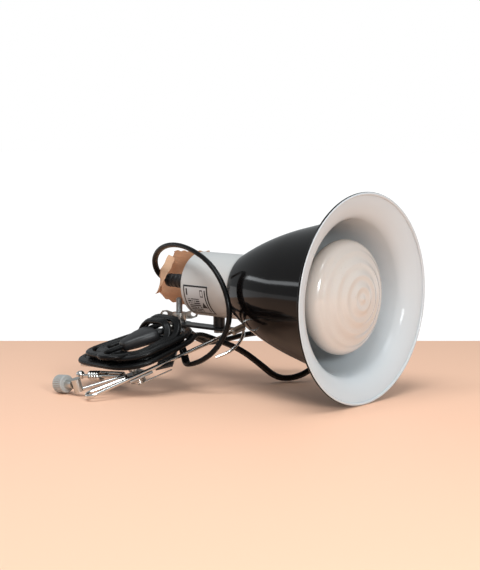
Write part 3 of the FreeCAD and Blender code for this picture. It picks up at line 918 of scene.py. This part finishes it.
# a screw: its radius falls and rises once in each pitch along it and each turn round it
def makeStud(facts):
    z = np.arange(facts["head"], facts["top"], facts["pitch"] / 8)[:, None]
    turn = np.linspace(0, 2 * np.pi, 32, endpoint=False)[None, :]
    wave = np.abs(((z / facts["pitch"] - turn / (2 * np.pi)) % 1) - 0.5) * 2
    end = np.clip((facts["top"] - z) / facts["ease"], 0.55, 1)
    r = (facts["radius"] - facts["thread"] * wave) * end
    bottom, (small, large) = facts["bottom"], facts["headRadius"]
    headZ = [[bottom], [bottom], [bottom + facts["ease"]], [facts["head"]]]
    headR = [[0.0], [small], [large], [large]]
    z = np.concatenate([headZ, z])
    r = np.concatenate([headR + 0 * turn, r])
    points = np.stack([facts["x"] + r * np.cos(turn), r * np.sin(turn), z + 0 * turn], -1)
    mesh = finished(gridMesh("threaded_stud", place(points), wrapColumns=True, caps=True), 40)
    return standIn("threaded_stud", mesh, paints["zinc"], "swivel_stud")


# the knob: a short drum with rounded ends and fine ribs round it, radius r - depth |sin(ribs t / 2)|
knob = {
    "centre": (0.127, 0.038, 0.0),
    "heading": (0.3, 0.954),
    "tilt": math.radians(5.3),
    "radius": 0.0062,
    "length": 0.009,
    "ease": 0.0009,
    "plain": 0.0006,
    "gap": 0.0001,
    "ribs": 30,
    "depth": 0.00035,
}


def makeKnob(facts):
    axis = along * facts["heading"][0] + across * facts["heading"][1]
    axis /= np.linalg.norm(axis)
    centre = onClamp(*facts["centre"])
    half = facts["length"] / 2
    centre[2] = facts["radius"] * math.cos(facts["tilt"]) + half * math.sin(facts["tilt"]) + facts["gap"]
    bend = np.linspace(0, np.pi / 2, 7)
    ease, flatEnd = facts["ease"], half - facts["ease"] - facts["plain"]
    flat = np.linspace(-flatEnd, flatEnd, 9)
    corner = half - ease * (1 - np.cos(bend))
    s = np.concatenate([[-half], -corner, flat, corner[::-1], [half]])
    r = facts["radius"] - ease + ease * np.sin(bend)
    r = np.concatenate([[0], r, 0 * flat + facts["radius"], r[::-1], [0]])[:, None]
    ribbed = (np.abs(s) <= flatEnd)[:, None]
    turn = np.linspace(0, 2 * np.pi, 8 * facts["ribs"], endpoint=False)[None, :]
    r = r - ribbed * facts["depth"] * np.abs(np.sin(facts["ribs"] * turn / 2))
    one = np.cross(axis, (0, 0, 1.0))
    one /= np.linalg.norm(one)
    other = np.cross(axis, one)
    points = centre + axis * s[:, None, None]
    points = points + one * (r * np.cos(turn))[..., None] + other * (r * np.sin(turn))[..., None]
    mesh = finished(gridMesh("ribbed_knob", place(points), wrapColumns=True), 50)
    return standIn("ribbed_knob", mesh, paints["knob"], "thumb_cap")


makeKnob(knob)
makeCoils(jawCoil, torsion)
makeStud(stud)
print("coils and stud")

# pressed and cast parts with their edges eased

eased = {
    "wing_nut": ("cast_wing_nut", 0.0006, "steel"),
    "bracket_strap": ("pressed_strap", 0.0003, "coatAndPaintedShade"),
    "mount_arm": ("pressed_arm", 0.0003, "coatAndPaintedShade"),
    "pin_lug": ("pressed_lug", 0.0003, "zinc"),
    "finger_tab": ("pressed_tab", 0.0003, "steel"),
}


# a copy of a CAD part with its flat faces joined and a narrow bevel on its edges
def easeEdges(source, name, width, finish):
    mesh = nodes[source].data.copy()
    mesh.name = name
    work = bmesh.new()
    work.from_mesh(mesh)
    bmesh.ops.remove_doubles(work, verts=work.verts, dist=weld)
    bmesh.ops.dissolve_limit(work, angle_limit=math.radians(0.6), verts=work.verts, edges=work.edges)
    bmesh.ops.recalc_face_normals(work, faces=work.faces)
    work.to_mesh(mesh)
    work.free()
    mesh.materials.clear()
    made = standIn(name, mesh, paints[finish], source)
    mesh.polygons.foreach_set("use_smooth", np.ones(len(mesh.polygons), bool))
    edge = made.modifiers.new("edges", "BEVEL")
    edge.width, edge.segments, edge.harden_normals = width, 2, True
    edge.limit_method, edge.angle_limit = "ANGLE", math.radians(40)


for source, (name, width, finish) in eased.items():
    easeEdges(source, name, width, finish)
print("eased parts")

# torn kraft card on the cord, and its twisted strip

card = {
    "right": -0.149,
    "left": [-0.195, -0.2025, -0.2005, -0.2045, -0.1965, -0.1885, -0.1855],
    "bottom": (0.0497, 0.0540),
    "top": (0.0919, 0.0900),
    "y": 0.012,
    "thick": 0.0006,
}
strip = {
    "route": [
        (-0.185, 0.0110, 0.086),
        (-0.180, 0.0030, 0.082),
        (-0.175, -0.0085, 0.075),
        (-0.179, -0.0080, 0.066),
        (-0.190, 0.0020, 0.060),
        (-0.198, 0.0105, 0.058),
    ],
    "half": 0.0040,
    "thick": 0.0004,
    "twist": 2.6,
}


# u runs to the torn left edge and v upwards; sines of both curl the sheet and roughen its edges
def makeCard(facts):
    v = np.linspace(0, 1, 61)[:, None]
    u = np.linspace(0, 1, 49)[None, :]
    left = np.interp(v, np.linspace(0, 1, len(facts["left"])), facts["left"])
    left = left + 0.0007 * np.sin(13.7 * v + 2) + 0.0004 * np.sin(41 * v) + 0.0003 * np.sin(97 * v + 1)
    low = facts["bottom"][0] + (facts["bottom"][1] - facts["bottom"][0]) * u**3 + 0.0005 * np.sin(37 * u)
    high = facts["top"][0] + (facts["top"][1] - facts["top"][0]) * u + 0.0004 * np.sin(29 * u + 1)
    x = facts["right"] + (left - facts["right"]) * u
    z = low + (high - low) * v
    curl = 0.0035 * u**2 * np.sin(2.4 * v + 0.4) + 0.0008 * np.sin(9 * v + 5 * u) + 0.0012 * np.abs(u - 0.55)
    mesh = gridMesh("torn_card", place(np.stack([x, facts["y"] + curl + 0 * x, z], -1)))
    made = standIn("torn_card", mesh, paints["kraft"], "kraft_card")
    mesh.polygons.foreach_set("use_smooth", np.ones(len(mesh.polygons), bool))
    thick = made.modifiers.new("thickness", "SOLIDIFY")
    thick.thickness, thick.offset = facts["thick"], 0


# a torn ribbon that turns as it goes and narrows at its ends
def makeStrip(facts):
    line = splineLine("stripLine", place(facts["route"]), 14)
    t = np.linspace(0, 1, len(line))
    section = circle(1, 20) * (facts["half"], facts["thick"])
    scale = 0.45 + 0.55 * np.sin(np.pi * (0.1 + 0.8 * t)) + 0.06 * np.sin(31 * t)
    mesh = finished(sweptMesh("twisted_strip", line, section, (0, 1, 0), facts["twist"] * t, scale), 60)
    return standIn("twisted_strip", mesh, paints["pulp"], "card_strip")


makeCard(card)
makeStrip(strip)
print("card")

# floor

floorMesh = bpy.data.meshes.new("floor")
half = studio["floorSize"] / 2
floorCorners = [(-half, -half, 0), (half, -half, 0), (half, half, 0), (-half, half, 0)]
floorMesh.from_pydata(floorCorners, [], [(0, 1, 2, 3)])
floor = addObject("floor", floorMesh, floorPaint(studio), None)

# the CAD's own parts

nodePaints = {
    "porcelain": ["porcelain_insert", "emitter_insulator"],
    "housing": ["rear_housing", "lampholder_skirt"],
    "gland": ["gland_nut", "friction_washer"],
    "enamel": ["shade_ring"],
    "aluminium": ["emitter_cap"],
    "brass": ["screw_shell", "centre_contact", "terminal_screws", "emitter_contact"],
    "wire": ["near_lever_wire", "fixed_jaw_wire", "moving_jaw_wire", "ball_head", "finger_loop"],
    "steel": ["thumb_stem", "screw_barrel", "wire_ferrule", "pivot_pin", "jaw_hub"],
    "zinc": ["holder_screws", "bracket_bolt", "bracket_nut", "spring_washer"],
    "coatAndPaintedShade": ["bracket_spacer"],
}
for finish, names in nodePaints.items():
    for name in names:
        nodes[name].data.materials.clear()
        nodes[name].data.materials.append(paints[finish])
print("CAD parts painted")
